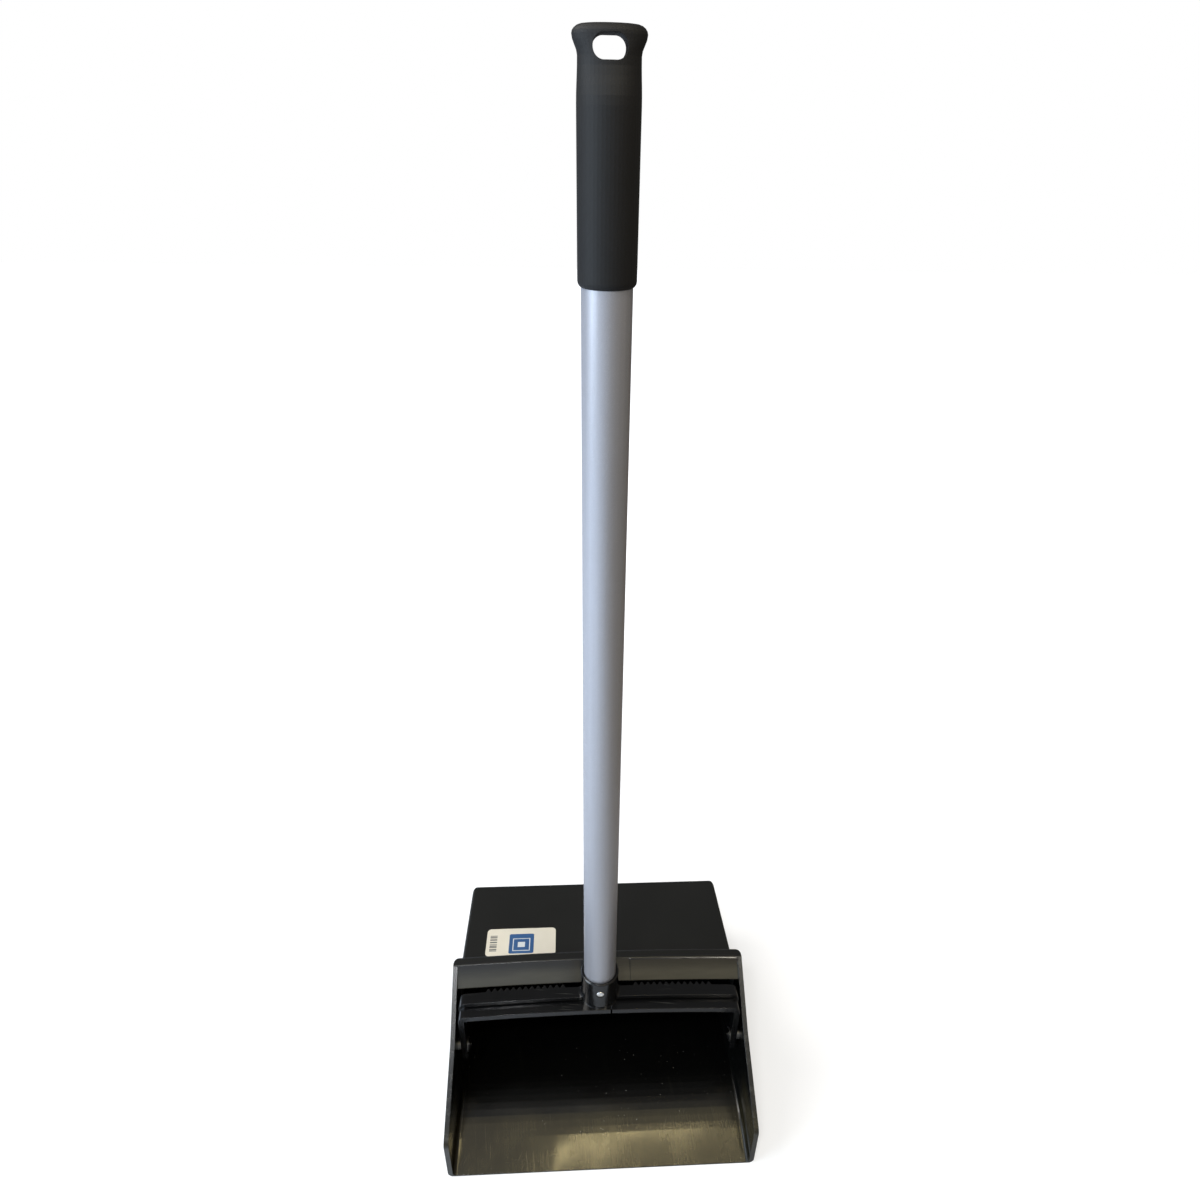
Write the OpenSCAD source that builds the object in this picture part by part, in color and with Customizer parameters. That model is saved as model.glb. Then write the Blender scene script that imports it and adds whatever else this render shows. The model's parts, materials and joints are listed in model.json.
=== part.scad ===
// Long-handled lobby dust pan with a self-parking hinged handle.
// A moulded pan with a ramped floor and a hooded bin carries a moulded yoke on
// two tubular rivets.  The yoke holds an aluminium tube with a plastic grip.
//
// Frame: +Z up, standing on z = 0.  +X across the mouth, the lip faces -Y.
// Heights are above the floor.  Places called "back" are measured from the lip.

/* [Pan] */
// Width over the side rims at the lip
mouth_w = 312; // [290:1:340]
// Outer width of the hooded bin
bin_w = 301; // [280:1:304]
// Length from the lip to the rear wall
pan_len = 293; // [270:1:320]
// Thickness of the moulded walls
wall = 2.2; // [1.6:0.1:3]
// Height of the side walls at the lip
cheek_h = 57.6; // [45:0.5:70]
// Distance over which the side walls flare out to the mouth
flare_len = 74; // [50:1:74]
// Height of the roof at its rear corner
roof_rear_h = 97.7; // [85:0.5:104]
// Fall of the roof towards the rear, in degrees
roof_slope = 9.4; // [4:0.2:11]
// Plan radius of the rear corners
rear_r = 11; // [6:0.5:20]
// Radius along the side edges of the roof
roof_edge_r = 4; // [3:0.25:6]
// Radius along the rear edge of the roof
roof_rear_r = 4.5; // [3:0.5:8]
// Radius along the bottom of the rear wall
base_r = 8; // [4:0.5:10]
// Radius at the top of the front edge, where it turns up to the hood
cheek_r = 8; // [4:0.5:12]

/* [Floor] */
// Distance back to the point where the ramp and the rear floor would meet
ramp_back = 62; // [50:1:75]
// Height of that meeting point
ramp_h = 24.5; // [16:0.5:30]
// Radius that rolls the ramp over into the rear floor
crest_r = 150; // [80:5:170]
// Thickness of the lip
lip_t = 1.8; // [1.2:0.1:2.2]
// Fillet between the floor and the rear wall
floor_r = 9; // [5:0.5:14]
// Fillet between the floor and the side walls
side_fillet_r = 4.5; // [3:0.25:6]
// Depth of the flat foot under the rear edge
foot_d = 12; // [6:1:20]

/* [Hood] */
// Distance back to the crease of the hood, its highest edge
crease_back = 134; // [128:1:142]
// Height of the crease at the sides
crease_h = 154.1; // [148:0.5:160]
// Slope of the front strip of the hood, in degrees
strip_slope = 42.9; // [36:0.5:50]
// Length of the strip down its slope
strip_len = 23.4; // [16:0.2:27]
// Depth of the flat band behind the crease
band_d = 12; // [9:0.5:16]
// Radius between the band and the riser behind it
band_r = 5; // [3:0.5:6]
// How far the riser leans back from the band down to the roof
riser_lean = 3; // [1:0.5:5]
// Rise of the hood at its middle over its ends
hood_crown = 4.5; // [2:0.25:7]

/* [Rim] */
// How far the rim stands out from the side wall
rim_proud = 2.6; // [1.5:0.1:4]
// Depth of the rim, in from the free edge
rim_d = 11; // [7:0.5:16]
// Radius of the bottom corners of the rim, seen from the front
rim_foot_r = 7; // [4:0.5:8]
// Plan radius of the rear corners of the hood ends
ear_r = 8.5; // [6:0.5:9]
// Height of the foot of the hood ends above the roof
ear_up = 6; // [4:0.5:9]

/* [Pivot] */
// Distance back to the pivot
pivot_back = 88.6; // [84:0.2:94]
// Height of the pivot
pivot_h = 86.4; // [78:0.2:92]
// Diameter of the rivet shank
axle_d = 8; // [6:0.5:9]
// Diameter of the domed rivet head
axle_head_d = 15.7; // [13:0.1:18]
// Height of the domed rivet head
axle_head_h = 2.6; // [1.8:0.1:4]
// Space between the side wall and the yoke arm, filled by the spacer
arm_gap = 3.6; // [2.5:0.1:5]
// Outer diameter of the spacer
spacer_d = 11; // [10:0.5:14]
// Thickness of the washer under the rolled end of the rivet
washer_t = 1.2; // [0.8:0.1:2]
// Outer diameter of that washer
washer_d = 15; // [12:0.5:16]

/* [Yoke] */
// Width of the ribs seen from the front
rib_w = 6; // [5:0.25:8]
// Top of the front rib above the pivot, at the arms
front_rib_up = 51.2; // [46:0.2:54]
// Step from the top of the front rib to the top of the upper rib
rib_step = 6; // [5:0.25:8]
// Thickness of the upper rib
upper_rib_t = 4; // [3:0.25:5]
// Front face of the front rib, ahead of the handle axis
front_rib_ahead = 20.8; // [19.8:0.1:22]
// Front edge of the upper rib, ahead of the handle axis
upper_rib_ahead = 9.4; // [7:0.2:12]
// Rear edge of the upper rib, behind the handle axis
upper_rib_behind = 3.2; // [1:0.2:5]
// Outer radius where the crossbar turns down into the arms
elbow_r = 8; // [6:0.5:12]
// Length of the arm below the pivot
arm_drop = 17.1; // [12:0.5:22]
// Depth of the arm from front to back
arm_d = 14; // [13:0.5:18]
// Length of the deep part of the elbows, down from the top of the front rib
elbow_leg = 16; // [12:0.5:20]
// Rise of the crossbar at its middle over its ends
bar_crown = 5.5; // [3:0.25:7]
// Fillet between the upper rib and the hub
hub_fillet_r = 4; // [2:0.25:6]
// Number of teeth in each half of the serrated rear edge
teeth = 13; // [6:1:15]
// Pitch of the teeth
tooth_pitch = 6.4; // [5:0.1:6.6]
// Depth of the teeth
tooth_d = 3.6; // [2:0.2:5]
// Space between the feet of two teeth
tooth_gap = 0.8; // [0.4:0.1:1.4]
// Width of the blunt tip of a tooth
tooth_tip = 1; // [0.6:0.1:1.6]
// Distance from the middle to the first tooth
tooth_start = 35; // [28:1:40]
// Distance from the middle to the slit in the front rib
slit_at = 11.5; // [9:0.5:13]
// Width of the slit
slit_w = 1.3; // [0.8:0.1:2]

/* [Handle] */
// Outer diameter of the tube
tube_d = 32; // [28:0.5:33]
// Wall of the tube
tube_wall = 1.2; // [0.8:0.1:2]
// Handle axis behind the pivot
axis_behind = 15.2; // [13:0.2:16.4]
// Wall of the hub that holds the tube
hub_wall = 3; // [2.4:0.1:4]
// Top of the hub above the pivot
hub_up = 93.4; // [88:0.2:102]
// Depth of the socket in the hub
socket_d = 31; // [26:0.5:32]
// Rivet through the hub and tube, below the top of the hub
rivet_down = 14; // [10:0.5:18]
// Diameter of that rivet
rivet_d = 4.8; // [4:0.1:5]
// Diameter of its head
rivet_head_d = 8; // [7:0.1:9]
// Overall height of the handle above the floor
total_h = 954.5; // [800:0.5:1100]

/* [Grip] */
// Length of the grip
grip_len = 130; // [110:1:160]
// Outer diameter of the grip
grip_d = 36.4; // [36:0.1:40]
// Width of the flared top
grip_top_w = 41; // [38:0.5:46]
// Depth of the flared top, front to back
grip_top_d = 24; // [16:0.5:30]
// Width of the hanging hole
hang_w = 18.8; // [15:0.2:22]
// Height of the hanging hole
hang_h = 12; // [9:0.2:14]
// Material left above the hanging hole
hang_bar = 4.2; // [3:0.2:6]

/* [Fits] */
// Radial clearance of a running fit
run_clear = 0.3; // [0.2:0.05:0.5]
// Radial clearance of a fixed fit
fit_clear = 0.1; // [0.05:0.05:0.2]

/* [Hidden] */
$fn = 96;

black = [0.07, 0.07, 0.075];
black_grip = [0.05, 0.045, 0.045];
silver = [0.75, 0.76, 0.78];
bright = [0.82, 0.81, 0.77];

// The lip lies half the length ahead of the origin.
lip_y = -pan_len/2;
mouth_half = mouth_w/2 - rim_proud;
bin_half = bin_w/2;
slope_k = tan(roof_slope);

// Points of the side view: [distance back, height].
crease = [crease_back, crease_h];
strip_edge = crease - strip_len*[cos(strip_slope), sin(strip_slope)];
band_end = crease + [band_d, -band_d*sin(roof_slope)];
riser_foot = crease_back + band_d + riser_lean;
roof_front = [riser_foot, roof_rear_h + (pan_len - riser_foot)*slope_k];
roof_rear = [pan_len, roof_rear_h];
cheek_top = [0, cheek_h];
// Small radii of the lip and of the crease.
lip_r = 0.8;
crease_r = 2;
// A height clear above the pan, for cutters.
clear_h = 1.5*crease_h;
function roof_under(back) = roof_rear_h + (pan_len - back)*slope_k - wall/cos(roof_slope);
// The side walls and the rim stop this far inside the skin of the hood.
tuck = [-0.6, -0.5];

// Places across: wall faces at the pivot, then the arm.
wall_in = bin_half - wall;
arm_out = wall_in - arm_gap;
arm_in = arm_out - rib_w;

// Handle axis, hub and socket.
axis_back = pivot_back + axis_behind;
socket_r = tube_d/2 + fit_clear;
hub_r = socket_r + hub_wall;
hub_top = pivot_h + hub_up;
hub_edge = 1;
socket_floor = hub_top - socket_d;
front_rib_top = pivot_h + front_rib_up;
upper_rib_top = front_rib_top + rib_step;
grip_low = total_h - grip_len;
tube_top = total_h - 3*hang_h;

// ---- helpers ---------------------------------------------------------------

function unit(v) = v/norm(v);

// Arc of n steps that rounds corner p between its neighbours a and b.
function arc(a, p, b, r, n) =
    let (u = unit(a - p), v = unit(b - p), half = acos(max(-1, min(1, u*v)))/2,
        c = p + unit(u + v)*r/sin(half), s = p + u*r/tan(half) - c, e = p + v*r/tan(half) - c,
        a0 = atan2(s[1], s[0]), d = atan2(s[0]*e[1] - s[1]*e[0], s*e))
    [for (i = [0:n]) c + r*[cos(a0 + d*i/n), sin(a0 + d*i/n)]];

// Closed outline with each corner rounded by its own radius.
function rounded(pts, rs, n = 6) =
    let (k = len(pts))
    [for (i = [0:k - 1]) each rs[i] > 0
        ? arc(pts[(i + k - 1)%k], pts[i], pts[(i + 1)%k], rs[i], n) : [pts[i]]];

// Corner p moved in by d from both of its sides.
function corner_in(a, p, b, d) =
    let (u = unit(a - p), v = unit(b - p), half = acos(u*v)/2) p + unit(u + v)*d/sin(half);

// Side-view outline, extruded across the pan.
module across(w) translate([0, lip_y, 0]) rotate([90, 0, 90]) linear_extrude(w, center = true) children();

// Side-view outline swept across on an arc that rises by crown at the middle.
// The arc passes through height level at half the width, and runs on 2 mm past it.
module crowned(pts, half, crown, level) {
    r = (half*half + crown*crown)/(2*crown);
    a = asin((half + 2)/r);
    translate([0, lip_y, level + crown - r]) rotate([90, 0, 0]) rotate([0, 0, 90 - a])
        rotate_extrude(angle = 2*a, $fn = 1440) polygon([for (p = pts) [r + p[1] - level, -p[0]]]);
}

// Rod along X at the pivot, from x0 to x1.
module at_pivot(x0) translate([x0, lip_y + pivot_back, pivot_h]) rotate([0, 90, 0]) children();

// ---- pan -------------------------------------------------------------------

// Plan outline at an inset from the outer walls, run on ahead of the lip.
module plan(inset, h) {
    f = mouth_half - inset;
    b = bin_half - inset;
    y1 = pan_len/2 - inset;
    translate([0, 0, -1]) linear_extrude(h + 1) polygon(rounded(
        [[-f, lip_y - 8], [f, lip_y - 8], [f, lip_y], [b, lip_y + flare_len], [b, y1],
            [-b, y1], [-b, lip_y + flare_len], [-f, lip_y]],
        [0, 0, 0, 0, rear_r - inset, rear_r - inset, 0, 0], 8));
}

// Cutters that round the two long edges of the roof, from the riser to the rear.
module roof_edges(inset) {
    b = bin_half - inset;
    r = roof_edge_r - inset;
    run = (pan_len - roof_front[0] - 0.4)/cos(roof_slope);
    translate([0, lip_y + pan_len, roof_rear_h - inset/cos(roof_slope)]) rotate([90 - roof_slope, 0, 0])
        translate([0, 0, -20]) linear_extrude(20 + run) for (s = [0, 1]) mirror([s, 0]) translate([b, 0]) corner(r);
}

// Top line of the floor: up the ramp, over the crest and down to the rear.
rear_in = pan_len - wall;
ramp_k = (ramp_h - lip_t)/ramp_back;
ramp_end = [ramp_back, ramp_h];
floor_rear = [rear_in, wall + 0.6];
ahead = [-6, lip_t - 6*ramp_k];
crest_n = 10;
function floor_line(drop) = let (d = [0, -drop])
    concat([ahead + d], arc(ahead, ramp_end, floor_rear, crest_r, crest_n) + [for (i = [0:crest_n]) d]);

module pan_block() difference() {
    intersection() {
        across(2*mouth_w) polygon(rounded(
            [[0, 0], cheek_top, crease + tuck, band_end + tuck, roof_front + [tuck[0], 0], roof_rear,
                [pan_len - 2, 0]],
            [lip_r, cheek_r, crease_r, band_r, 0, roof_rear_r, base_r]));
        plan(0, clear_h);
    }
    roof_edges(0);
}

// Everything inside the walls, open to the front and above the mouth.
module pan_hollow() difference() {
    intersection() {
        across(2*mouth_w) {
            top = [roof_front[0], roof_front[1] - wall/cos(roof_slope)];
            corner = [rear_in, roof_rear[1] - wall];
            polygon(concat(floor_line(0), arc(ramp_end, floor_rear, corner, floor_r, 6),
                arc(floor_rear, corner, top, max(0.8, roof_rear_r - wall), 4),
                [top, [top[0], clear_h], [ahead[0], clear_h]]));
        }
        plan(wall, clear_h);
    }
    roof_edges(wall);
    side_fillets();
}

// Hollow under the raised floor.
module under_floor() intersection() {
    foot = pan_len - base_r - foot_d;
    across(2*mouth_w) polygon(concat([[(wall - lip_t)/ramp_k + 1, -2]],
        [for (i = [1:crest_n + 1]) floor_line(wall)[i]], [[foot, 0], [foot, -2]]));
    plan(wall, clear_h);
}

// Hood front: a riser off the roof, a band, and the strip that slopes down over the mouth.
// It runs out to the faces of the rim, where the crown dies out.
module hood() intersection() {
    difference() {
        n = wall*[sin(strip_slope), -cos(strip_slope)];
        strip_r = 0.6;
        down = unit(roof_front - band_end);
        foot = roof_front + 12*down;
        crowned(rounded([strip_edge, crease, band_end, foot, foot + wall*[down[1], -down[0]],
                corner_in(crease, band_end, roof_front, wall), corner_in(strip_edge, crease, band_end, wall),
                strip_edge + n],
            [strip_r, crease_r, band_r, 0, 0, band_r - wall, strip_r, strip_r], 4),
            bin_half + rim_proud, hood_crown, crease_h);
        // The riser stops at the underside of the roof.
        across(2*mouth_w) polygon([[pivot_back, 0], [pivot_back, roof_under(pivot_back)],
            [pan_len, roof_under(pan_len)], [pan_len, 0]]);
    }
    plan(-rim_proud, clear_h);
}

// Rim along the front edge, up the cheek line and round the end of the hood.
module rim() intersection() {
    across(2*mouth_w) {
        u = unit(crease - cheek_top);
        n = rim_d*[u[1], -u[0]];
        k1 = cheek_top + n;
        // Where the line set in from the cheek line crosses the one set in from the front edge.
        kx = [rim_d, k1[1] + (rim_d - k1[0])*u[1]/u[0]];
        ear = roof_front + [tuck[0], ear_up];
        polygon(rounded(
            [[0, 0], cheek_top, crease + tuck, band_end + tuck, ear, ear - [rim_d + 2, 0], kx, [rim_d, 0]],
            [lip_r, cheek_r, crease_r, band_r, 2, 3, 5, 1]));
    }
    difference() {
        plan(-rim_proud, clear_h);
        plan(wall, clear_h);
    }
}

// Corner cutter in plan or in section: what lies outside radius r at the corner [0, 0],
// with the two sides running to -x and -y.
module corner(r) polygon(concat([[1, -r], [1, 1], [-r, 1]],
    [for (i = [0:6]) [-r, -r] + (r + 0.02)*[sin(15*i), cos(15*i)]]));

// Rounds the rear corners of the hood ends, square to the leaning riser.
module ear_corners() {
    h = band_end[1] - roof_front[1] - 1;
    for (s = [0, 1]) mirror([s, 0, 0]) translate([bin_half + rim_proud, lip_y + band_end[0], band_end[1]])
        rotate([atan2(riser_lean, h + 1), 0, 0]) translate([0, 0, -h]) linear_extrude(2*h) corner(ear_r);
}

// Rounds the bottom corners of the rim at the mouth.
module rim_feet() for (s = [0, 1]) mirror([s, 0, 0])
    translate([mouth_half + rim_proud, lip_y, 0]) rotate([90, 0, atan2(mouth_half - bin_half, flare_len)])
        translate([0, 0, -rim_d - 0.7]) linear_extrude(rim_d + 4) mirror([0, 1]) corner(rim_foot_r);

// Fillets along the foot of the side walls, left standing in the hollow.  Each ring lies
// across the pan at a distance back, dips into floor and wall, and the last one tapers out.
module side_fillets() {
    pts = concat(floor_line(0), [floor_rear]);
    k = (bin_half - mouth_half)/flare_len;
    stations = concat([[-4, side_fillet_r]], [for (i = [1:crest_n + 1]) [pts[i][0], side_fillet_r]],
        [[rear_in - 2*floor_r, side_fillet_r], [rear_in - 0.8*floor_r, 0.8]]);
    for (s = [0, 1]) mirror([s, 0, 0]) loft([for (q = stations)
        let (y = lip_y + q[0], r = q[1], x = mouth_half - wall + k*min(q[0], flare_len),
            z = lookup(q[0], pts), d = 0.9, over = 0.1)
        concat([[x - r, y, z - d]],
            [for (i = [5:-1:0]) [x - r + (r + over)*cos(18*i), y, z + r - (r + over)*sin(18*i)]],
            [[x + d, y, z + r], [x + d, y, z - d]])]);
}

module pan() color(black) difference() {
    union() {
        difference() {
            pan_block();
            pan_hollow();
            under_floor();
        }
        hood();
        rim();
    }
    ear_corners();
    rim_feet();
    for (s = [-1, 1]) at_pivot(s*bin_half)
        cylinder(d = axle_d + 2*fit_clear, h = 4*wall, center = true);
}

// ---- pivots ----------------------------------------------------------------

washer_x = arm_in - run_clear - washer_t;

// Tubular rivet: a domed head outside the wall, a shank through wall, spacer and arm,
// and an end rolled over the washer.
module pivot_rivet() color(bright) at_pivot(0) {
    r = axle_d/2;
    hr = axle_head_d/2;
    rotate_extrude() polygon(concat(
        [[r*0.55, washer_x - 1.6], [r + 1.2, washer_x - 1.6], [r + 1.9, washer_x - 0.9],
            [r + 1.9, washer_x], [r, washer_x], [r, bin_half], [hr, bin_half]],
        [for (i = [0:8]) [hr*cos(10*i), bin_half + 0.7 + (axle_head_h - 0.7)*sin(10*i)]],
        [[0, bin_half + axle_head_h], [0, arm_in - 4], [r*0.55, arm_in - 4]]));
}

module pivot_spacer() color(bright) at_pivot(arm_out + run_clear) difference() {
    cylinder(d = spacer_d, h = arm_gap - run_clear);
    translate([0, 0, -1]) cylinder(d = axle_d + 2*fit_clear, h = arm_gap + 2);
}

module pivot_washer() color(bright) at_pivot(washer_x) difference() {
    cylinder(d = washer_d, h = washer_t);
    translate([0, 0, -1]) cylinder(d = axle_d + 2*fit_clear, h = washer_t + 2);
}

// ---- yoke ------------------------------------------------------------------

// Front-view arch: outer width 2*half, crowned top at height top, legs down to foot.
function arch(half, top, foot, r, crown) =
    let (n = 24, c = (half*half + crown*crown)/(2*crown),
        bow = [for (i = [0:n]) let (x = -half + r + 2*(half - r)*i/n)
            [x, top + crown - c + sqrt(c*c - x*x)]],
        edge = bow[0][1])
    concat([[-half, foot]], [for (i = [0:6]) [-half + r - r*cos(15*i), edge - r + r*sin(15*i)]],
        [for (i = [1:n - 1]) bow[i]],
        [for (i = [6:-1:0]) [half - r + r*cos(15*i), edge - r + r*sin(15*i)]], [[half, foot]]);

// Rib that follows the arch, t thick, from y0 to y1 (distance back).
module arch_rib(top, t, foot, y0, y1, w = 0)
    translate([0, lip_y + y1, 0]) rotate([90, 0, 0]) linear_extrude(y1 - y0) difference() {
        polygon(arch(arm_out, top, foot, elbow_r, bar_crown));
        translate([0, -0.01]) polygon(arch(arm_out - (w > 0 ? w : t), top - t, foot - 1,
            max(1, elbow_r - t), bar_crown));
    }

front_y = axis_back - front_rib_ahead;
upper_y = axis_back - upper_rib_ahead;
upper_rear = axis_back + upper_rib_behind;
elbow_foot = front_rib_top - elbow_leg;
// Depth of the groove between the two ribs.
groove_d = 4;

// Serrated comb in plan on the rear edge of the upper rib, right half.
module comb() translate([tooth_start, lip_y + upper_rear, 0]) linear_extrude(upper_rib_top + 2*bar_crown) {
    foot = tooth_pitch - tooth_gap;
    polygon(concat([[0, -2]],
        [for (i = [0:teeth - 1], q = [[0, 0], [(foot - tooth_tip)/2, 1], [(foot + tooth_tip)/2, 1], [foot, 0]])
            [i*tooth_pitch + q[0], q[1]*tooth_d]],
        [[teeth*tooth_pitch - tooth_gap, -2]]));
}

module yoke_ribs() {
    // Front rib: the arms down past the pivot, and the deep lower flange between them.
    arch_rib(front_rib_top, rib_w, pivot_h - arm_drop, front_y, front_y + arm_d);
    arch_rib(front_rib_top, rib_w, elbow_foot, front_y, upper_rear - 2);
    // Upper rib with its own short legs, behind the arms.
    arch_rib(upper_rib_top, upper_rib_t, pivot_h + axle_head_d/2 + 1, upper_y, upper_rear, rib_w - 1);
    // Web between the two, set back to leave a groove.
    arch_rib(upper_rib_top - 1, rib_step, elbow_foot, upper_y + groove_d, upper_rear - 2, rib_w - 1);
    intersection() {
        arch_rib(upper_rib_top, upper_rib_t, elbow_foot, upper_rear - 3, upper_rear + tooth_d + 1);
        union() for (s = [0, 1]) mirror([s, 0, 0]) comb();
    }
}

// Fillet that runs the upper rib up into the hub, as deep as the rib.
module hub_fillet() intersection() {
    translate([0, lip_y + axis_back, upper_rib_top + bar_crown - 0.3]) rotate_extrude() polygon(concat(
        [[hub_r - 1, hub_fillet_r], [hub_r - 1, -1], [hub_r + hub_fillet_r, -1]],
        [for (i = [0:6]) [hub_r + hub_fillet_r, hub_fillet_r + 0.15]
            - (hub_fillet_r + 0.05)*[sin(15*i), cos(15*i)]]));
    translate([-2*hub_r, lip_y + upper_y + 0.05, 0]) cube([4*hub_r, upper_rear - upper_y - 0.1, hub_top]);
}

module yoke() color(black) difference() {
    union() {
        yoke_ribs();
        hub_fillet();
        translate([0, lip_y + axis_back, front_rib_top - rib_w + bar_crown])
            cylinder(r = hub_r, h = hub_top - front_rib_top + rib_w - bar_crown - hub_edge);
        translate([0, lip_y + axis_back, hub_top - hub_edge])
            cylinder(r1 = hub_r, r2 = hub_r - 0.8*hub_edge, h = hub_edge);
    }
    // Slit through the front rib beside the hub.
    translate([slit_at - slit_w/2, lip_y + front_y - 1, elbow_foot])
        cube([slit_w, 1 + 0.85*(front_rib_ahead - sqrt(hub_r*hub_r - slit_at*slit_at)), hub_top - elbow_foot]);
    // Socket for the tube, with a bevelled mouth.
    translate([0, lip_y + axis_back, socket_floor]) cylinder(r = socket_r, h = socket_d + 1);
    translate([0, lip_y + axis_back, hub_top - 0.8]) cylinder(r1 = socket_r, r2 = socket_r + 1.2, h = 1.2);
    // Back of the hub, cut parallel to the hood strip that it parks against.
    w = hub_r + hub_fillet_r + 1;
    translate([0, lip_y + strip_edge[0], strip_edge[1] + hood_crown]) rotate([strip_slope, 0, 0])
        translate([-w, -w, -2*w + run_clear]) cube([2*w, 4*w, 2*w]);
    // Rivet hole and spot face in the front of the hub.
    translate([0, lip_y + axis_back, hub_top - rivet_down]) rotate([90, 0, 0])
        cylinder(d = rivet_d + 2*fit_clear, h = 30);
    translate([0, lip_y + axis_back, hub_top - rivet_down]) rotate([90, 0, 0])
        translate([0, 0, hub_r - 0.6]) cylinder(d = rivet_head_d + 0.4, h = 5);
    for (s = [-1, 1]) at_pivot(s*(arm_out + arm_in)/2)
        cylinder(d = axle_d + 2*run_clear, h = 2*rib_w, center = true);
}

// ---- handle ----------------------------------------------------------------

// Blind rivet: domed head, shank through hub and tube, bulb inside the tube.
module socket_rivet() color(bright) translate([0, lip_y + axis_back, hub_top - rivet_down])
    rotate([90, 0, 0]) {
        seat = hub_r - 0.6;
        inner = tube_d/2 - tube_wall - 0.25;
        rotate_extrude() polygon(concat(
            [[0.9, inner - 5], [rivet_d/2 + 0.8, inner - 4], [rivet_d/2 + 0.8, inner - 0.6],
                [rivet_d/2, inner], [rivet_d/2, seat], [rivet_head_d/2, seat]],
            [for (i = [1:7]) [rivet_head_d/2*cos(11*i), seat + 0.4 + 1.2*sin(11*i)]],
            [[0.9, seat + 1.5], [0.9, seat + 0.9], [0, seat + 0.9], [0, inner - 5]]));
    }

module handle_tube() color(silver) difference() {
    translate([0, lip_y + axis_back, socket_floor + fit_clear])
        cylinder(d = tube_d, h = tube_top - socket_floor - fit_clear);
    translate([0, lip_y + axis_back, socket_floor - 1])
        cylinder(d = tube_d - 2*tube_wall, h = tube_top - socket_floor + 2);
    translate([0, lip_y + axis_back, hub_top - rivet_down]) rotate([90, 0, 0])
        cylinder(d = rivet_d + 2*fit_clear, h = 30);
}

// Section of the grip's top at t from 0 (round) to 1 (flared and flattened).
grip_round = grip_low + grip_len*0.72;
grip_neck_w = grip_d - 1.4;
function ring(w, d, z) = [for (i = [0:47]) [w/2*cos(7.5*i), d/2*sin(7.5*i), z]];

// Loft through rings of equal count.
module loft(rings) {
    k = len(rings[0]);
    m = len(rings);
    polyhedron(points = [for (q = rings) each q], faces = concat(
        [[for (i = [0:k - 1]) i]], [[for (i = [k - 1:-1:0]) (m - 1)*k + i]],
        [for (j = [0:m - 2], i = [0:k - 1])
            [j*k + i, (j + 1)*k + i, (j + 1)*k + (i + 1)%k, j*k + (i + 1)%k]]));
}

module grip() color(black_grip) translate([0, lip_y + axis_back, 0]) difference() {
    // Round up to grip_round; then it flattens front to back, narrows to a neck and
    // flares out sideways to the rounded top.
    neck = total_h - 14;
    flare = total_h - 4.5;
    loft(concat(
        [for (i = [0:4]) let (w = grip_d - 8*(1 - sin(22.5*i)))
            ring(w, w, grip_low + 4*(1 - cos(22.5*i)))],
        [for (i = [0:5]) let (t = i/5, e = (1 - cos(180*t))/2)
            ring(grip_d - (grip_d - grip_neck_w)*e, grip_d - (grip_d - grip_top_d)*e*0.8,
                grip_round + (neck - grip_round)*t)],
        [for (i = [1:4]) let (t = i/4, e = (1 - cos(180*t))/2)
            ring(grip_neck_w + (grip_top_w - grip_neck_w)*e,
                grip_d - (grip_d - grip_top_d)*(0.8 + 0.2*e), neck + (flare - neck)*t)],
        [for (i = [1:5]) let (s = 4.5*(1 - cos(18*i)), h = 4.5*sin(18*i))
            ring(grip_top_w - 3*s, grip_top_d - 1.6*s, flare + h)]));
    // Bore for the tube.
    translate([0, 0, grip_low - 1]) cylinder(r = tube_d/2 + fit_clear, h = tube_top - grip_low + 1 + fit_clear);
    // Hanging hole.
    translate([0, 0, total_h - hang_bar - hang_h/2]) rotate([90, 0, 0]) {
        for (s = [-1, 1]) translate([s*(hang_w - hang_h)/2, 0, 0]) cylinder(d = hang_h, h = 2*grip_d, center = true);
        cube([hang_w - hang_h, hang_h, 2*grip_d], center = true);
    }
}

module left() mirror([1, 0, 0]) children();

pan();
left() pivot_rivet();  // pivot_rivet_left
pivot_rivet();  // pivot_rivet_right
left() pivot_spacer();  // pivot_spacer_left
pivot_spacer();  // pivot_spacer_right
left() pivot_washer();  // pivot_washer_left
pivot_washer();  // pivot_washer_right
yoke();
socket_rivet();
handle_tube();
grip();
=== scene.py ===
"""Looks of the upright lobby dust pan: materials, label, floor, light and camera.

Metres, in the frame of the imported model: +Z up, the lip faces -Y, the handle parked upright.
"""

import json
import math

import bmesh
import bpy
from mathutils import Matrix, Vector


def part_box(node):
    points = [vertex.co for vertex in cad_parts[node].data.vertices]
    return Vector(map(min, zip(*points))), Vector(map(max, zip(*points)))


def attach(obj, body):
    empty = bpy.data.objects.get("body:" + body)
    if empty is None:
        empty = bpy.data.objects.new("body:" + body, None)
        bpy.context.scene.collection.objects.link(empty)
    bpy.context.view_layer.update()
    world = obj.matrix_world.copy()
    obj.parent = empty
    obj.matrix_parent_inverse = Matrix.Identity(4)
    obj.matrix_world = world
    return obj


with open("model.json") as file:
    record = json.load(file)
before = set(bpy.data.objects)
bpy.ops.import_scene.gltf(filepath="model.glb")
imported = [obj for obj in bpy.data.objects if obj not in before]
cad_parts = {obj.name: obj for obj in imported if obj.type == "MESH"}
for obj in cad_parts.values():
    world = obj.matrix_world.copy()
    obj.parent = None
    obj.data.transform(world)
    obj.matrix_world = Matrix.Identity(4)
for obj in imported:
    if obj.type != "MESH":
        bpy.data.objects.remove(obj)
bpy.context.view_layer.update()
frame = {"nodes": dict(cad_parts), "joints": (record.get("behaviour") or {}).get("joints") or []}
NODES = frame["nodes"]
PIVOT = Vector(frame["joints"][0]["pos_m"])


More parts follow.
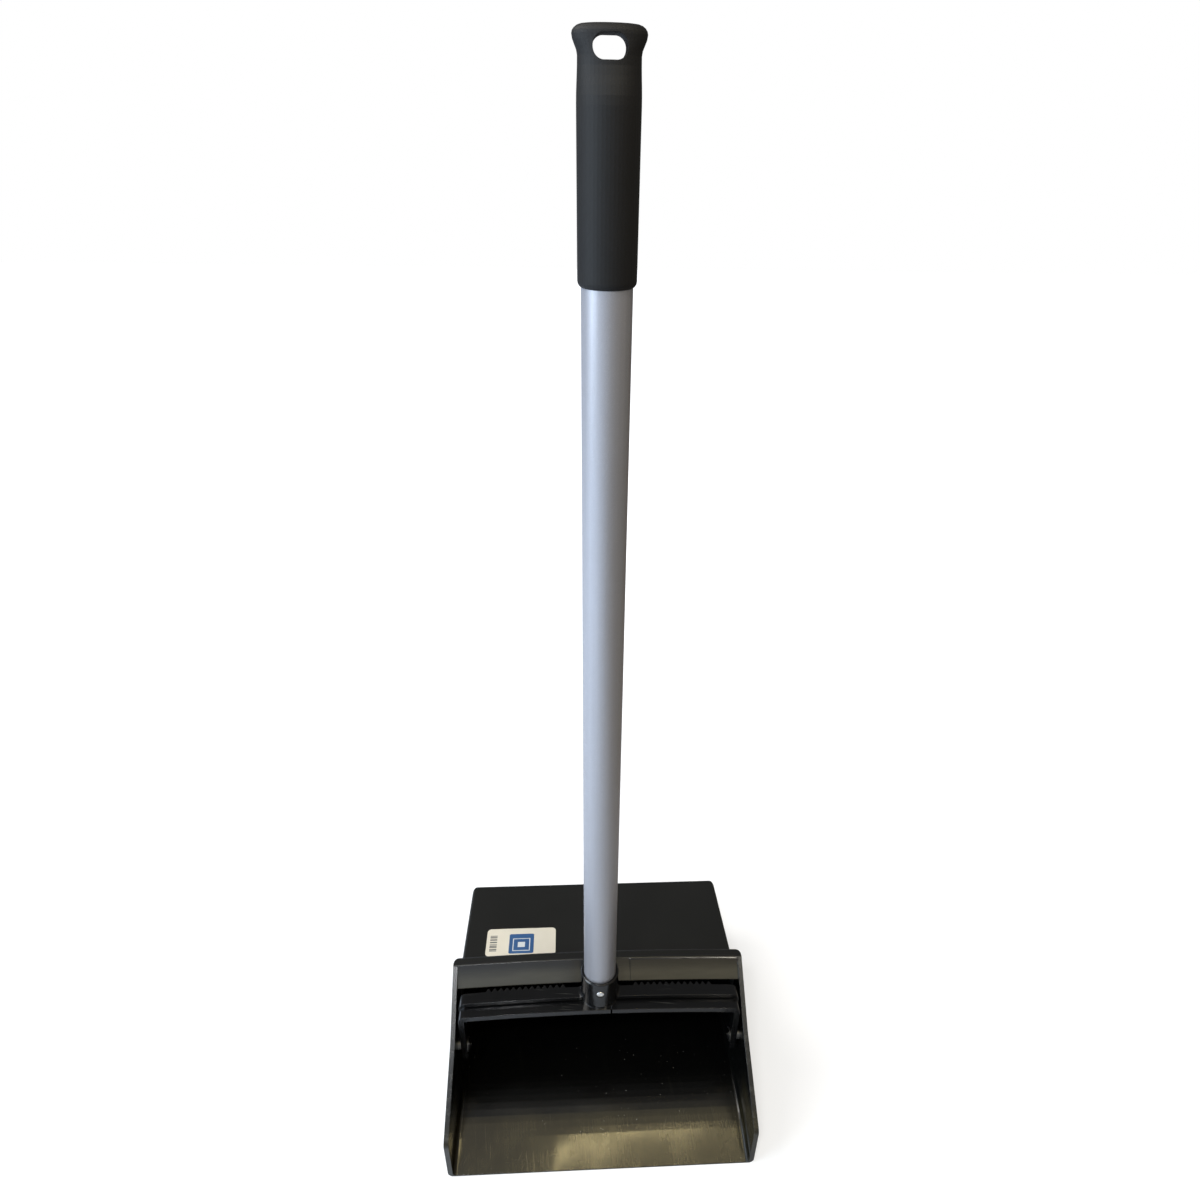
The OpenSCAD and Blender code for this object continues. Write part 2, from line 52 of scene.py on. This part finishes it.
# ---- material graph helper -------------------------------------------------

class Graph:
    """One material's node tree, with short calls for the nodes used here."""

    def __init__(self, name, color, roughness, metallic=0.0, specular=0.5):
        self.material = bpy.data.materials.new(name)
        self.material.use_nodes = True
        self.tree = self.material.node_tree
        self.bsdf = self.tree.nodes["Principled BSDF"]
        self.bsdf.inputs["Metallic"].default_value = metallic
        self.bsdf.inputs["Specular IOR Level"].default_value = specular
        self.set("Base Color", color)
        self.set("Roughness", roughness)
        self.place = self.tree.nodes.new("ShaderNodeTexCoord").outputs["Object"]
        xyz = self.tree.nodes.new("ShaderNodeSeparateXYZ")
        self.tree.links.new(self.place, xyz.inputs[0])
        self.x, self.y, self.z = xyz.outputs

    def set(self, name, value):
        """Gives a shader input a constant or a socket."""
        self._feed(self.bsdf.inputs[name], value)

    def _feed(self, socket, value):
        if isinstance(value, bpy.types.NodeSocket):
            self.tree.links.new(value, socket)
        elif socket.type == "RGBA" and len(value) == 3:
            socket.default_value = (*value, 1.0)
        else:
            socket.default_value = value

    def math(self, operation, a, b=0.0):
        node = self.tree.nodes.new("ShaderNodeMath")
        node.operation = operation
        self._feed(node.inputs[0], a)
        self._feed(node.inputs[1], b)
        return node.outputs[0]

    def times(self, first, *others):
        """The product of two or more values."""
        for other in others:
            first = self.math("MULTIPLY", first, other)
        return first

    def most(self, a, b):
        """The larger of two values."""
        return self.math("MAXIMUM", a, b)

    def step(self, value, low, high):
        """0 below low, 1 above high, smooth between (low may be above high)."""
        node = self.tree.nodes.new("ShaderNodeMapRange")
        node.interpolation_type = "SMOOTHSTEP"
        if low > high:
            low, high = high, low
            node.inputs["To Min"].default_value = 1.0
            node.inputs["To Max"].default_value = 0.0
        self._feed(node.inputs["Value"], value)
        node.inputs["From Min"].default_value = low
        node.inputs["From Max"].default_value = high
        return node.outputs["Result"]

    def band(self, value, low, high, soft):
        """1 from low to high, with edges twice soft wide."""
        rising = self.step(value, low - soft, low + soft)
        return self.times(rising, self.step(value, high + soft, high - soft))

    def stretched(self, scale, turn=0.0):
        """The place, turned about Z by turn degrees and then scaled by a vector."""
        node = self.tree.nodes.new("ShaderNodeMapping")
        node.vector_type = "TEXTURE"
        self.tree.links.new(self.place, node.inputs["Vector"])
        node.inputs["Scale"].default_value = tuple(1.0 / k if k else 1e9 for k in scale)
        node.inputs["Rotation"].default_value = (0.0, 0.0, math.radians(turn))
        return node.outputs["Vector"]

    def noise(self, scale, detail=3.0, rough=0.5, place=None):
        node = self.tree.nodes.new("ShaderNodeTexNoise")
        self.tree.links.new(place or self.place, node.inputs["Vector"])
        node.inputs["Scale"].default_value = scale
        node.inputs["Detail"].default_value = detail
        node.inputs["Roughness"].default_value = rough
        return node.outputs["Fac"]

    def cells(self, scale):
        """Distance to the nearest of a scatter of points, in cell sizes."""
        node = self.tree.nodes.new("ShaderNodeTexVoronoi")
        self.tree.links.new(self.place, node.inputs["Vector"])
        node.inputs["Scale"].default_value = scale
        return node.outputs["Distance"]

    def mix(self, fac, a, b):
        """a to b for colours."""
        node = self.tree.nodes.new("ShaderNodeMix")
        node.data_type = "RGBA"
        self._feed(node.inputs[0], fac)
        self._feed(node.inputs[6], a)
        self._feed(node.inputs[7], b)
        return node.outputs[2]

    def blend(self, fac, a, b):
        """a to b for plain numbers."""
        node = self.tree.nodes.new("ShaderNodeMix")
        self._feed(node.inputs[0], fac)
        self._feed(node.inputs[2], a)
        self._feed(node.inputs[3], b)
        return node.outputs[0]

    def relief(self, *layers, edge=0.0):
        """Bumps from (height, depth in metres) layers, over rounded edges of radius edge."""
        normal = None
        if edge:
            bevel = self.tree.nodes.new("ShaderNodeBevel")
            bevel.samples = 4
            bevel.inputs["Radius"].default_value = edge
            normal = bevel.outputs[0]
        for height, depth in layers:
            bump = self.tree.nodes.new("ShaderNodeBump")
            bump.inputs["Strength"].default_value = 1.0
            bump.inputs["Distance"].default_value = depth
            self._feed(bump.inputs["Height"], height)
            if normal:
                self.tree.links.new(normal, bump.inputs["Normal"])
            normal = bump.outputs[0]
        self.tree.links.new(normal, self.bsdf.inputs["Normal"])

    def scratches(self, turn, fine, length, amount):
        """Straight hairlines: a noise drawn out along Y, turned about Z, kept in patches."""
        drawn = self.noise(1.0, 2.0, 0.5, self.stretched((fine, length, length), turn))
        patches = self.noise(22.0, 2.0, 0.5, self.stretched((1.0, 1.0, 1.0), turn + 40.0))
        return self.times(self.step(drawn, 0.66, 0.74), self.step(patches, 0.95 - amount, 1.05 - amount))


# ---- materials -------------------------------------------------------------

# Edges of the pan's zones, in metres: where a zone begins, and where it is complete. STRIP_Y is the
# strip's front and rear edge.
BEHIND_CREASE_Y = (-0.0135, -0.0115)
OUTER_Z = (0.09, 0.10)
STRIP_Y = (-0.0305, -0.0135)
STRIP_Z = (0.128, 0.131)
STRIP_ENDS_X = (0.1495, 0.1475)
STRIP_STEP_X = (0.0325, 0.0335)
SOILED_LEVEL = (0.1560, 0.1475)
LOW_Z = (0.075, 0.055)
RAMP_Y = (-0.086, -0.108)
MOUTH_Y = (-0.010, -0.020)
RIM_DEPTH = (-0.0014, -0.0003)
RIM_Y = (-0.032, -0.036)
RIM_X = (0.148, 0.1495)
LIP_Y = (-0.1448, -0.1460)
LIP_Z = (0.066, 0.062)
# The cheeks' top edge: how steeply it rises to the rear, and its height at y = 0.
CHEEK_SLOPE, CHEEK_HEIGHT = 0.7256, 0.1639
WORN_COLOR = (0.12, 0.115, 0.10)


def worn_rims(g, side):
    """Rubbed patches along the cheeks' top edge and on the lip's corners."""
    above = g.math("SUBTRACT", g.z, g.math("ADD", g.times(g.y, CHEEK_SLOPE), CHEEK_HEIGHT))
    rim = g.times(g.step(above, *RIM_DEPTH), g.step(g.y, *RIM_Y), g.step(side, *RIM_X))
    lip = g.times(g.step(g.y, *LIP_Y), g.step(g.z, *LIP_Z))
    return g.times(g.most(rim, lip), g.step(g.noise(160.0, 4.0, 0.7), 0.50, 0.66))


def pan_plastic():
    g = Graph("pan_plastic", (0.006, 0.006, 0.006), 0.4, specular=0.42)
    side = g.math("ABSOLUTE", g.x)
    outer = g.times(g.step(g.y, *BEHIND_CREASE_Y), g.step(g.z, *OUTER_Z))
    strip = g.times(g.band(g.y, *STRIP_Y, 0.001), g.step(g.z, *STRIP_Z), g.step(side, *STRIP_ENDS_X))
    low = g.step(g.z, *LOW_Z)
    swept = g.times(g.step(g.y, *RAMP_Y), low)
    cloudy = g.noise(9.0, 4.0, 0.55)

    # Colour: black inside, a softer black on the roof, grit-polished brown-black on the ramp.
    roof = g.mix(cloudy, (0.0050, 0.0050, 0.0042), (0.0080, 0.0078, 0.0066))
    color = g.mix(outer, (0.0013, 0.0014, 0.0013), roof)
    level = g.math("ADD", g.z, g.times(g.x, g.x, 0.15))
    soiled = g.times(g.step(level, *SOILED_LEVEL),
                     g.blend(g.noise(1.0, 2.0, 0.5, g.stretched((16.0, 90.0, 90.0))), 0.2, 1.5))
    color = g.mix(strip, color, g.mix(soiled, (0.0020, 0.0019, 0.0016), (0.0330, 0.0305, 0.0215)))
    drawn = g.noise(1.0, 3.0, 0.6, g.stretched((420.0, 9.0, 9.0), 4.0))
    dusty = g.blend(0.65, drawn, g.noise(30.0, 6.0, 0.65))
    ramp = g.mix(g.step(dusty, 0.36, 0.64), (0.0060, 0.0050, 0.0022), (0.0200, 0.0164, 0.0074))
    color = g.mix(swept, color, ramp)

    # Marks: hairlines from sweeping, dust specks, and rubbed rims.
    lines = g.most(g.scratches(6.0, 700.0, 14.0, 0.50), g.scratches(-24.0, 900.0, 30.0, 0.42))
    lines = g.most(lines, g.times(g.scratches(86.0, 1100.0, 16.0, 0.48), g.most(strip, 0.35)))
    specks = g.times(g.step(g.cells(170.0), 0.085, 0.05), g.step(g.noise(34.0, 3.0), 0.46, 0.60))
    inside = g.times(g.step(g.y, *MOUTH_Y), low)
    scored = g.times(lines, g.most(g.times(inside, 0.30), swept))
    color = g.mix(g.times(scored, 0.22), color, (0.11, 0.10, 0.070))
    color = g.mix(g.times(specks, g.most(inside, swept), 0.4), color, (0.36, 0.35, 0.31))
    color = g.mix(g.times(worn_rims(g, side), 0.22), color, WORN_COLOR)
    g.set("Base Color", color)

    rough = g.blend(outer, g.blend(cloudy, 0.20, 0.28), g.blend(cloudy, 0.42, 0.50))
    rough = g.blend(strip, rough, g.blend(cloudy, 0.12, 0.20))
    rough = g.blend(swept, rough, g.blend(g.step(dusty, 0.30, 0.70), 0.090, 0.130))
    g.set("Roughness", g.math("ADD", rough, g.times(g.noise(900.0, 2.0, 0.5), 0.02)))

    # Relief: a faint step in the strip right of the hub, slow moulding waves, fine grain, hairlines.
    joint = g.times(g.step(g.x, *STRIP_STEP_X), strip)
    waves = g.noise(8.0, 2.0, 0.4, g.stretched((1.6, 0.7, 0.7)))
    unpolished = g.math("SUBTRACT", 1.0, g.times(g.most(strip, swept), 0.9))
    grain = g.times(g.cells(1500.0), unpolished)
    g.relief((joint, 0.0003), (waves, 0.0016), (grain, 0.000012), (lines, -0.000005), edge=0.0008)
    return g.material


def yoke_plastic():
    g = Graph("yoke_plastic", (0.006, 0.006, 0.007), 0.25)
    cloudy = g.noise(24.0, 4.0, 0.6)
    rubbed = g.times(g.step(g.noise(240.0, 4.0, 0.7), 0.62, 0.72),
                     g.step(g.y, PIVOT.y + 0.006, PIVOT.y - 0.004))
    lines = g.scratches(84.0, 900.0, 20.0, 0.50)
    color = g.mix(cloudy, (0.0018, 0.0019, 0.0021), (0.0045, 0.0045, 0.0047))
    color = g.mix(g.times(g.most(rubbed, lines), 0.22), color, WORN_COLOR)
    g.set("Base Color", color)
    g.set("Roughness", g.math("ADD", g.blend(cloudy, 0.10, 0.18), g.times(rubbed, 0.15)))
    g.relief((g.noise(60.0, 2.0), 0.00018), (g.cells(1400.0), 0.000008), (lines, -0.00002), edge=0.0011)
    return g.material


def grip_plastic():
    g = Graph("grip_plastic", (0.011, 0.010, 0.010), 0.45, specular=0.3)
    cloudy = g.noise(20.0, 3.0, 0.5)
    g.set("Base Color", g.mix(cloudy, (0.0042, 0.0041, 0.0042), (0.0076, 0.0073, 0.0072)))
    g.set("Roughness", g.blend(cloudy, 0.56, 0.66))
    g.relief((g.cells(1300.0), 0.00002), (g.noise(500.0, 3.0, 0.6), 0.00003), edge=0.0006)
    return g.material


def tube_aluminium():
    g = Graph("tube_aluminium", (0.42, 0.43, 0.455), 0.40, metallic=0.6)
    drawn = g.noise(300.0, 3.0, 0.6, g.stretched((1.0, 1.0, 0.012)))
    sparkle = g.noise(2600.0, 2.0, 0.6)
    cloudy = g.noise(7.0, 3.0, 0.5)
    color = g.mix(drawn, (0.35, 0.35, 0.375), (0.42, 0.42, 0.45))
    color = g.mix(g.times(g.step(sparkle, 0.5, 0.68), 0.30), color, (0.62, 0.62, 0.63))
    g.set("Base Color", color)
    g.set("Roughness", g.math("ADD", g.blend(cloudy, 0.34, 0.40), g.times(sparkle, 0.06)))
    g.relief((drawn, 0.000006), (sparkle, 0.000006))
    return g.material


def bare_metal(name, color, rough, dark_inside=0.0):
    """Worn metal; with dark_inside it is dull where |x| is below that many metres."""
    g = Graph(name, color, rough, metallic=1.0)
    worn = g.noise(350.0, 4.0, 0.6)
    tone = g.mix(worn, tuple(0.75 * c for c in color), color)
    if dark_inside:
        out = g.step(g.math("ABSOLUTE", g.x), dark_inside - 0.001, dark_inside + 0.001)
        tone = g.mix(out, tuple(0.03 * c for c in color), tone)
    g.set("Base Color", tone)
    g.set("Roughness", g.blend(worn, rough - 0.08, rough + 0.12))
    g.relief((g.noise(900.0, 3.0), 0.00002), (g.cells(420.0), 0.00001), edge=0.0003)
    return g.material


# Middles of the label and of its blue block on the roof, as (x, y).
LABEL_AT = (-0.0862, 0.0470)
BLOCK_AT = (-0.0857, 0.0440)
LABEL_LIFT, BLOCK_LIFT = 0.0002, 0.00034


def label_paper():
    g = Graph("label_paper", (0.70, 0.64, 0.52), 0.38)
    paper = g.mix(g.noise(60.0, 3.0), (0.66, 0.60, 0.48), (0.74, 0.68, 0.56))
    # A plain column of grey bars at the left end; they stand for nothing.
    column = g.times(g.band(g.x, LABEL_AT[0] - 0.0353, LABEL_AT[0] - 0.0273, 0.0002),
                     g.band(g.y, LABEL_AT[1] - 0.0140, LABEL_AT[1] + 0.0120, 0.0002))
    bars = g.step(g.noise(1.0, 1.0, 0.5, g.stretched((0.0, 520.0, 0.0))), 0.47, 0.53)
    g.set("Base Color", g.mix(g.times(column, bars), paper, (0.10, 0.10, 0.10)))
    g.relief((g.noise(40.0, 2.0), 0.0002), (g.noise(700.0, 2.0), 0.00001))
    return g.material


def label_blue():
    g = Graph("label_blue", (0.03, 0.09, 0.22), 0.34)
    blue = g.mix(g.noise(90.0, 3.0), (0.026, 0.080, 0.20), (0.040, 0.11, 0.26))
    # A plain white square outline with a square dot in it, a little nearer the front than the middle.
    away = g.most(g.math("ABSOLUTE", g.math("SUBTRACT", g.x, BLOCK_AT[0])),
                  g.math("ABSOLUTE", g.math("SUBTRACT", g.y, BLOCK_AT[1] - 0.0015)))
    mark = g.most(g.band(away, 0.0088, 0.0098, 0.0002), g.step(away, 0.0042, 0.0038))
    g.set("Base Color", g.mix(mark, blue, (0.62, 0.64, 0.64)))
    g.relief((g.noise(40.0, 2.0), 0.0002),)
    return g.material


def dress(node, material):
    """Gives a CAD node its one material."""
    mesh = NODES[node].data
    mesh.materials.clear()
    mesh.materials.append(material)


rivet_metal = bare_metal("rivet_metal", (0.72, 0.70, 0.66), 0.26, dark_inside=0.145)
spacer_metal = bare_metal("spacer_metal", (0.16, 0.155, 0.145), 0.38)
washer_metal = bare_metal("washer_metal", (0.08, 0.078, 0.074), 0.46)
dress("pan", pan_plastic())
dress("yoke", yoke_plastic())
dress("grip", grip_plastic())
dress("handle_tube", tube_aluminium())
dress("socket_rivet", bare_metal("blind_rivet_metal", (0.90, 0.89, 0.86), 0.22))
for side in ("left", "right"):
    dress(f"pivot_rivet_{side}", rivet_metal)
    dress(f"pivot_spacer_{side}", spacer_metal)
    dress(f"pivot_washer_{side}", washer_metal)


# ---- label on the roof -----------------------------------------------------

def rounded_outline(width, height, radius, steps=6):
    """Corners of a rounded rectangle about the middle, counter-clockwise."""
    points = []
    for quarter, (sx, sy) in enumerate(((1, 1), (-1, 1), (-1, -1), (1, -1))):
        cx, cy = sx * (width / 2 - radius), sy * (height / 2 - radius)
        for i in range(steps + 1):
            a = math.radians(90.0 * quarter + 90.0 * i / steps)
            points.append((cx + radius * math.cos(a), cy + radius * math.sin(a)))
    return points


def plate(name, outline, thickness, material, place):
    """A thin flat piece, set down by the matrix place."""
    bm = bmesh.new()
    bottom = [bm.verts.new((x, y, 0.0)) for x, y in outline]
    face = bm.faces.new(bottom)
    grown = bmesh.ops.extrude_face_region(bm, geom=[face])
    top = [v for v in grown["geom"] if isinstance(v, bmesh.types.BMVert)]
    bmesh.ops.translate(bm, verts=top, vec=(0.0, 0.0, thickness))
    bmesh.ops.recalc_face_normals(bm, faces=bm.faces)
    bm.transform(place)
    mesh = bpy.data.meshes.new(name)
    bm.to_mesh(mesh)
    bm.free()
    mesh.materials.append(material)
    piece = bpy.data.objects.new(name, mesh)
    bpy.context.scene.collection.objects.link(piece)
    return piece


# The roof falls to the rear at this slope; its rear corner gives its height.
ROOF_SLOPE = math.radians(9.4)
ROOF_REAR_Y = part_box("pan")[1].y
ROOF_REAR_Z = 0.0977


def on_roof(x, y, lift):
    """Matrix that lays a piece's XY plane on the roof at (x, y), lifted off it along its normal."""
    height = ROOF_REAR_Z + (ROOF_REAR_Y - y) * math.tan(ROOF_SLOPE)
    return (Matrix.Translation((x, y, height)) @ Matrix.Rotation(-ROOF_SLOPE, 4, "X")
            @ Matrix.Translation((0.0, 0.0, lift)))


label = plate("label", rounded_outline(0.0785, 0.0435, radius=0.005), thickness=0.00012,
              material=label_paper(), place=on_roof(*LABEL_AT, LABEL_LIFT))
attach(label, "pan_body")
block = plate("label_block", rounded_outline(0.028, 0.031, radius=0.002), thickness=0.00006,
              material=label_blue(), place=on_roof(*BLOCK_AT, BLOCK_LIFT))
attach(block, "pan_body")


# ---- floor, light and camera -----------------------------------------------

def studio(tree):
    """Short calls for the node trees of the world and the floor."""
    def node(kind, **inputs):
        made = tree.nodes.new(kind)
        for name, value in inputs.items():
            socket = made.inputs[int(name[1:])]
            if isinstance(value, bpy.types.NodeSocket):
                tree.links.new(value, socket)
            else:
                socket.default_value = value
        return made

    def graded(value, low, high, a, b):
        """Colour a to colour b as value goes from low to high."""
        ramp = node("ShaderNodeMapRange", i0=value, i1=low, i2=high)
        mix = tree.nodes.new("ShaderNodeMix")
        mix.data_type = "RGBA"
        tree.links.new(ramp.outputs[0], mix.inputs[0])
        for socket, color in ((mix.inputs[6], a), (mix.inputs[7], b)):
            if isinstance(color, bpy.types.NodeSocket):
                tree.links.new(color, socket)
            else:
                socket.default_value = (*color, 1.0)
        return mix.outputs[2]

    def seen():
        """1 where the camera sees the surface itself, also through glass."""
        ray = node("ShaderNodeLightPath").outputs
        through = node("ShaderNodeMath", i0=ray["Is Camera Ray"], i1=ray["Is Transmission Ray"])
        through.operation = "MAXIMUM"
        return through.outputs[0]

    return node, graded, seen


# The room: plain white to the camera. In reflections it is pale and cool on the left, dimmer and warm
# on the right, and dark grey behind the pan; as a source of light it is dimmer still on both sides.
world = bpy.data.worlds.new("studio")
bpy.context.scene.world = world
world.use_nodes = True
node, graded, seen = studio(world.node_tree)
toward = node("ShaderNodeSeparateXYZ", i0=node("ShaderNodeTexCoord").outputs["Generated"]).outputs
mirrored = graded(toward[0], -0.8, 0.8, (0.74, 0.84, 1.00), (0.34, 0.29, 0.22))
mirrored = graded(toward[1], -0.1, 0.5, mirrored, (0.15, 0.15, 0.15))
ambient = graded(toward[0], -0.8, 0.8, (0.56, 0.64, 0.78), (0.22, 0.19, 0.15))
room = graded(node("ShaderNodeLightPath").outputs["Is Glossy Ray"], 0.0, 1.0, ambient, mirrored)
backdrop = graded(seen(), 0.0, 1.0, room, (1.0, 1.0, 1.0))
world.node_tree.links.new(backdrop, world.node_tree.nodes["Background"].inputs["Color"])

# The floor: pale, with the object's soft shadow; far from the object it fades into the white. Light
# and reflections meet a plain floor instead, cool and pale on the left, warm and dark on the right.
floor_mesh = bpy.data.meshes.new("floor")
REACH = 6.0
corners = [(-REACH, -REACH, 0), (REACH, -REACH, 0), (REACH, REACH, 0), (-REACH, REACH, 0)]
floor_mesh.from_pydata(corners, [], [(0, 1, 2, 3)])
floor = bpy.data.objects.new("floor", floor_mesh)
bpy.context.scene.collection.objects.link(floor)
floor_material = bpy.data.materials.new("floor")
floor_material.use_nodes = True
tree = floor_material.node_tree
tree.nodes.remove(tree.nodes["Principled BSDF"])
node, graded, seen = studio(tree)
here = node("ShaderNodeNewGeometry").outputs["Position"]
measure = node("ShaderNodeVectorMath", i0=here)
measure.operation = "LENGTH"
across = node("ShaderNodeSeparateXYZ", i0=here).outputs[0]
plain = node("ShaderNodeBsdfDiffuse", i0=graded(across, -0.5, 0.5, (0.80, 0.88, 1.00), (0.22, 0.19, 0.15)))
fading = graded(measure.outputs["Value"], 0.4, 1.3, (0.56, 0.56, 0.56), (1.0, 1.0, 1.0))
glow = node("ShaderNodeEmission", i0=fading)
matt = node("ShaderNodeBsdfDiffuse", i0=(0.55, 0.55, 0.55, 1.0))
lit = node("ShaderNodeAddShader", i0=glow.outputs[0], i1=matt.outputs[0])
shown = node("ShaderNodeMixShader", i0=seen(), i1=plain.outputs[0], i2=lit.outputs[0])
tree.links.new(shown.outputs[0], tree.nodes["Material Output"].inputs["Surface"])
floor_mesh.materials.append(floor_material)


def soft_light(name, place, aim, width, height, power, color, turn=0.0):
    """A rectangular lamp at place, facing aim and turned about its own axis by turn degrees."""
    data = bpy.data.lights.new(name, "AREA")
    data.shape = "RECTANGLE"
    data.size, data.size_y = width, height
    data.energy = power
    data.color = color
    lamp = bpy.data.objects.new(name, data)
    facing = (Vector(aim) - Vector(place)).to_track_quat("-Z", "Y").to_matrix().to_4x4()
    lamp.matrix_world = Matrix.Translation(place) @ facing @ Matrix.Rotation(math.radians(turn), 4, "Z")
    bpy.context.scene.collection.objects.link(lamp)


# Daylight from the left, then the golden lamps that the ramp mirrors, the two that the strip mirrors,
# and two small ones for sparks on rounded edges. overhead_line and overhead_end are narrow.
GOLD = (1.0, 0.82, 0.40)
soft_light("window", (-2.0, -0.9, 1.2), (0, 0, 0.45), 1.2, 1.6, 40.0, (0.72, 0.86, 1.0))
soft_light("side_top", (-1.35, 0.30, 2.3), (0, 0, 0.1), 1.0, 1.0, 26.0, (1.0, 0.96, 0.90))
soft_light("overhead_dim", (0.15, -0.55, 2.46), (0.15, -0.55, 0.0), 1.5, 1.10, 4.0, GOLD)
soft_light("overhead_gold", (0.36, -0.73, 2.42), (0.36, -0.73, 0.0), 0.9, 0.30, 0.78, GOLD)
soft_light("overhead_line", (0.20, -0.64, 2.38), (0.20, -0.64, 0.0), 0.62, 0.02, 2.1, GOLD, 10.1)
soft_light("overhead_end", (-0.09, -0.72, 2.38), (-0.09, -0.72, 0.0), 0.04, 0.10, 0.15, GOLD)
soft_light("front_cool", (-0.50, -1.9, 1.70), (0, 0, 0.15), 0.8, 0.5, 1.1, (0.92, 0.97, 1.0))
soft_light("front_warm", (0.42, -1.9, 1.70), (0, 0, 0.15), 0.9, 0.5, 1.1, GOLD)
soft_light("spark_left", (-0.45, -1.25, 2.15), (0, 0, 0.15), 0.20, 0.20, 10.0, (0.96, 0.98, 1.0))
soft_light("spark_right", (0.75, -1.10, 2.05), (0, 0, 0.15), 0.20, 0.20, 6.0, (1.0, 0.93, 0.80))

camera_data = bpy.data.cameras.new("camera")
camera = bpy.data.objects.new("camera", camera_data)
bpy.context.scene.collection.objects.link(camera)
bpy.context.scene.camera = camera
camera_data.sensor_width = 36.0
camera_data.clip_start = 0.01


def aim_camera(place, azimuth, elevation, roll, lens, shift):
    """Stands the camera at place, angles in degrees, lens in mm and shift in shares of the frame's width."""
    a, e, t = map(math.radians, (azimuth, elevation, roll))
    back = Vector((math.sin(a) * math.cos(e), -math.cos(a) * math.cos(e), math.sin(e)))
    right = (-back).cross(Vector((0, 0, 1))).normalized()
    up = right.cross(-back)
    right, up = math.cos(t) * right + math.sin(t) * up, math.cos(t) * up - math.sin(t) * right
    camera.matrix_world = Matrix.Translation(place) @ Matrix((right, up, back)).transposed().to_4x4()
    camera_data.lens = lens
    camera_data.shift_x, camera_data.shift_y = shift


aim_camera(place=(-0.02473, -0.59164, 0.91065), azimuth=-3.63, elevation=31.87, roll=1.16,
           lens=25.203, shift=(-0.01367, 0.03667))
bpy.context.scene.view_settings.view_transform = "Standard"
